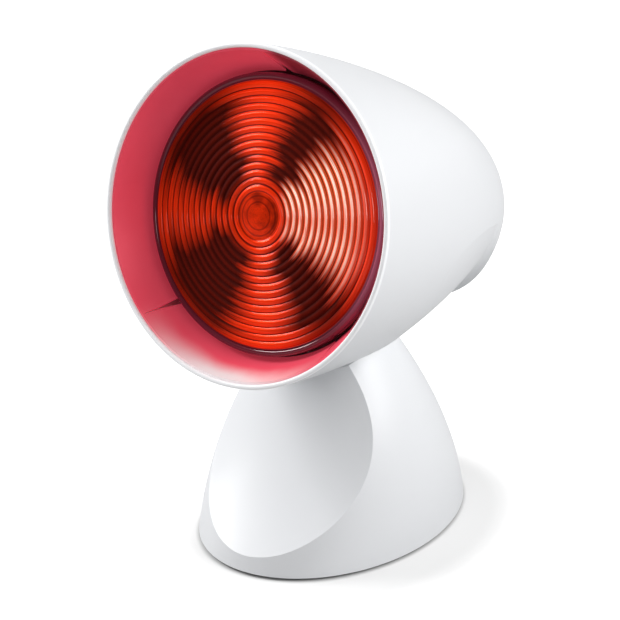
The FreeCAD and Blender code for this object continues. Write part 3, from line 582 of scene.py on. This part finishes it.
# %% [markdown]
# ## Metals, porcelain and rubber
# The rest of the lamp is hidden most of the time, but each piece still has its own finish: bright rolled
# brass on the cap, zinc on the steel, a thick white glaze on the lampholder and dull rubber underneath. Each
# could be its own tree of nodes. Two helpers are enough, one for metals with tarnish and fine scratches and
# one for everything that is not metal.

# %% Plain finishes with their own wear
def metal(name, colour, roughness, tarnish):
    material, start = new_finish(name)
    place = start.node("ShaderNodeTexCoord", out="Object")
    patches = noise(place, 160.0, 4.0, 0.6)
    scratches = noise(place, 1500.0, 2.0)
    tone = mixed(step(patches, 0.45, 0.75), colour, tarnish)
    rough = roughness + 0.18 * (patches - 0.5) + 0.08 * (scratches - 0.5)
    return close(material, Base_Color=tone, Metallic=1.0, Roughness=rough,
                 Normal=bump(scratches, 0.12, 0.0001))


def matt(name, colour, other, roughness, scale, strength, coat=0.0):
    material, start = new_finish(name)
    place = start.node("ShaderNodeTexCoord", out="Object")
    patches = noise(place, scale / 12.0, 3.0)
    grains = noise(place, scale, 3.0, 0.6)
    tone = mixed(0.5 * patches + 0.5 * grains, colour, other)
    rough = roughness + 0.12 * (patches - 0.5)
    return close(material, Base_Color=tone, Roughness=rough, Normal=bump(grains, strength, 0.0002),
                 Coat_Weight=coat, Coat_Roughness=0.06)


dress(matt("bowl_wine", (0.17, 0.012, 0.03), (0.10, 0.006, 0.016), 0.12, 90.0, 0.02, 1.0), "bulb_bowl")
dress(metal("cap_brass", (0.78, 0.60, 0.30), 0.26, (0.55, 0.40, 0.20)),
      "screw_cap", "lampholder_shell", "lampholder_contact", "terminal_screws")
dress(metal("tungsten_wire", (0.32, 0.32, 0.33), 0.40, (0.22, 0.22, 0.23)), "filament")
dress(metal("nickel", (0.66, 0.63, 0.59), 0.30, (0.50, 0.48, 0.45)), "filament_posts", "heat_shield")
dress(metal("solder_tip", (0.68, 0.68, 0.69), 0.38, (0.48, 0.48, 0.50)), "cap_contact")
dress(metal("zinc_plate", (0.70, 0.70, 0.71), 0.34, (0.58, 0.59, 0.61)),
      "lampholder_plate", "hinge_yoke")
bright_screw = metal("bright_screw", (0.62, 0.62, 0.63), 0.28, (0.46, 0.46, 0.48))
dress(bright_screw, "lampholder_terminals", "lampholder_screws", "plate_screws", "yoke_screws", "pivot_bolt",
      "pivot_nut", "spring_washer")
dress(matt("cap_black_glass", (0.03, 0.03, 0.035), (0.05, 0.05, 0.055), 0.18, 300.0, 0.03, 0.6),
      "cap_insulator")
dress(matt("porcelain", (0.86, 0.85, 0.81), (0.80, 0.78, 0.73), 0.22, 400.0, 0.05, 0.8),
      "lampholder_body")
dress(matt("washer_natural", (0.82, 0.80, 0.74), (0.76, 0.74, 0.67), 0.48, 700.0, 0.10),
      "friction_washers")
dress(matt("block_grey", (0.11, 0.11, 0.12), (0.15, 0.15, 0.16), 0.50, 900.0, 0.20), "terminal_block")
dress(matt("lead_braid", (0.80, 0.78, 0.73), (0.66, 0.64, 0.59), 0.72, 1800.0, 0.60),
      "head_lead", "stand_lead")
dress(matt("soft_rubber", (0.045, 0.045, 0.048), (0.07, 0.07, 0.072), 0.68, 900.0, 0.30),
      "cable_gland", "lead_grommet", "foot_front_right", "foot_rear_right", "foot_front_left",
      "foot_rear_left")

# %% [markdown]
# ## The screws in their places
# The four screws of the base plate and the two of the terminal block are put at the places that the solids
# have for them. They could be copied in a loop, but the tree above also gives each its own turn.

# %% The screws underneath
head_face = 1.7
screw_sets = {"base_screws": (10.0, [(x, y) for x in (-40.0, 40.0) for y in (-22.0, 22.0)]),
              "block_screws": (7.0, [(-5.5, 25.0), (5.5, 25.0)])}
placer = screw_placer()
for seed, (node, (length, spots)) in enumerate(screw_sets.items()):
    screw = pan_head_screw(node + "_one", length)
    places = bpy.data.meshes.new(node + "_places")
    places.from_pydata([(x, y, head_face) for x, y in spots], [], [])
    heads = grown(node + "_cross_slot", places, placer,
                  {"Screw": screw, "Seed": seed, "Steel": bright_screw})
    heads.data.transform(to_metres)
    bpy.data.objects.remove(screw)
    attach(heads, "stand")
    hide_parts(node)
    print(heads.name, len(heads.data.polygons), "faces")

# %% [markdown]
# ## The stage
# The lamp stands on a plain white sweep. The floor is an ordinary pale surface with a little glow that only
# the camera and mirrors see, so that it reaches white and still holds the lamp's soft shadow. The glow is
# held back under the oval foot and fades in beside it, which paints a thin contact shadow round the foot. A
# wider fade from a centre shifted to the right and front paints a soft shadow there, over the real one. The
# world is white in the same way, and dimmer on the studio's side, where the camera stands.

# %% Floor
floor_half = 6.0
white = (1.0, 1.0, 1.0, 1.0)
foot_half_width, foot_half_depth = 0.0564, 0.0766
# centre of the painted soft shadow, shifted right and front of the foot, in metres
shadow_x, shadow_y = 0.012, -0.004
form = bmesh.new()
bmesh.ops.create_grid(form, x_segments=1, y_segments=1, size=floor_half)
sheet = bpy.data.meshes.new("floor")
form.to_mesh(sheet)
form.free()
floor = bpy.data.objects.new("floor", sheet)
scene.collection.objects.link(floor)


def seen(start):
    """1 for rays from the camera, and for rays that come by way of a mirror or glass."""
    names = ("Is Camera Ray", "Is Glossy Ray", "Is Transmission Ray")
    camera_ray, glossy, through = (start.node("ShaderNodeLightPath", out=name) for name in names)
    return camera_ray, start.maths("MAXIMUM", glossy, through)


paper, start = new_finish("floor_paper")
camera_ray, mirrored = seen(start)
place = start.node("ShaderNodeTexCoord", out="Object")
fibres = noise(place, 40.0, 3.0)
paper_tone = mixed(fibres, (0.42, 0.42, 0.42), (0.40, 0.40, 0.40))
diffuse = start.node("ShaderNodeBsdfDiffuse", {}, {"Color": paper_tone})
x, y = (start.node("ShaderNodeSeparateXYZ", {}, {0: place}, out=axis) for axis in range(2))


def from_foot(x, y):
    """Distance from the middle of the foot; 1 on its oval edge."""
    return x.maths("SQRT", (x / foot_half_width) ** 2.0 + (y / foot_half_depth) ** 2.0)


beside, shaded = from_foot(x, y), from_foot(x - shadow_x, y - shadow_y)
# painted shadow: the glow held back under the foot and faded in beside it paints a contact shadow, and a
# wider fade round the shifted centre paints a soft shadow
lift = 0.54 * step(beside, 0.965, 1.03) + 0.56 * step(shaded, 1.04, 1.60)
glow = start.node("ShaderNodeEmission", {},
                  {"Color": white, "Strength": lift * camera_ray + 0.2 * mirrored})
both = start.node("ShaderNodeAddShader", {}, {0: diffuse, 1: glow})
paper.node_tree.links.new(both.socket, paper.node_tree.nodes["Material Output"].inputs["Surface"])
sheet.materials.append(paper)
print("floor:", floor.name, "with", paper.name)

# %% World
studio_level, mirror_level = 0.19, 0.10
world = bpy.data.worlds.new("studio")
scene.world = world
world.use_nodes = True
start = Sum(world.node_tree)
camera_ray, mirrored = seen(start)
look = start.node("ShaderNodeTexCoord", out="Generated")
x, y = (start.node("ShaderNodeSeparateXYZ", {}, {0: look}, out=axis) for axis in range(2))
backdrop = step(0.82 * y - 0.57 * x, -0.35, 0.55)
in_mirrors = mirror_level + (1.0 - mirror_level) * backdrop
studio = (1.0 - mirrored) * studio_level + mirrored * in_mirrors
strength = camera_ray + (1.0 - camera_ray) * studio
sky = world.node_tree.nodes["Background"]
world.node_tree.links.new(strength.socket, sky.inputs["Strength"])
sky.inputs["Color"].default_value = white
scene.view_settings.view_transform = "Standard"
print("world:", world.name, "at", studio_level)

# %% [markdown]
# ## The lamps
# Three large soft boxes light the lamp: a key from the upper left, which leaves the right of the scoop in
# shade, a broad one on the right that makes the hood's flank bright, and a weak one overhead. A small one in
# front gives the clear part of the lens something to glint with.

# %% Soft boxes
def soft_box(name, place, target, width, height, power):
    light = bpy.data.lights.new(name, "AREA")
    light.shape = "RECTANGLE"
    light.size = width
    light.size_y = height
    light.energy = power
    box = bpy.data.objects.new(name, light)
    scene.collection.objects.link(box)
    aim(box, place, target)
    print(name, power, "W")


middle = (0.0, 0.0, 0.13)
soft_box("key_left", (-0.90, -0.36, 0.75), middle, 0.50, 0.50, 12.0)
soft_box("fill_right", (0.95, 0.18, 0.66), middle, 0.60, 0.60, 10.0)
soft_box("overhead", (0.0, 0.05, 1.30), middle, 0.60, 0.60, 1.0)
soft_box("glint", (0.15, -1.03, 0.42), middle, 0.30, 0.14, 0.5)

# %% [markdown]
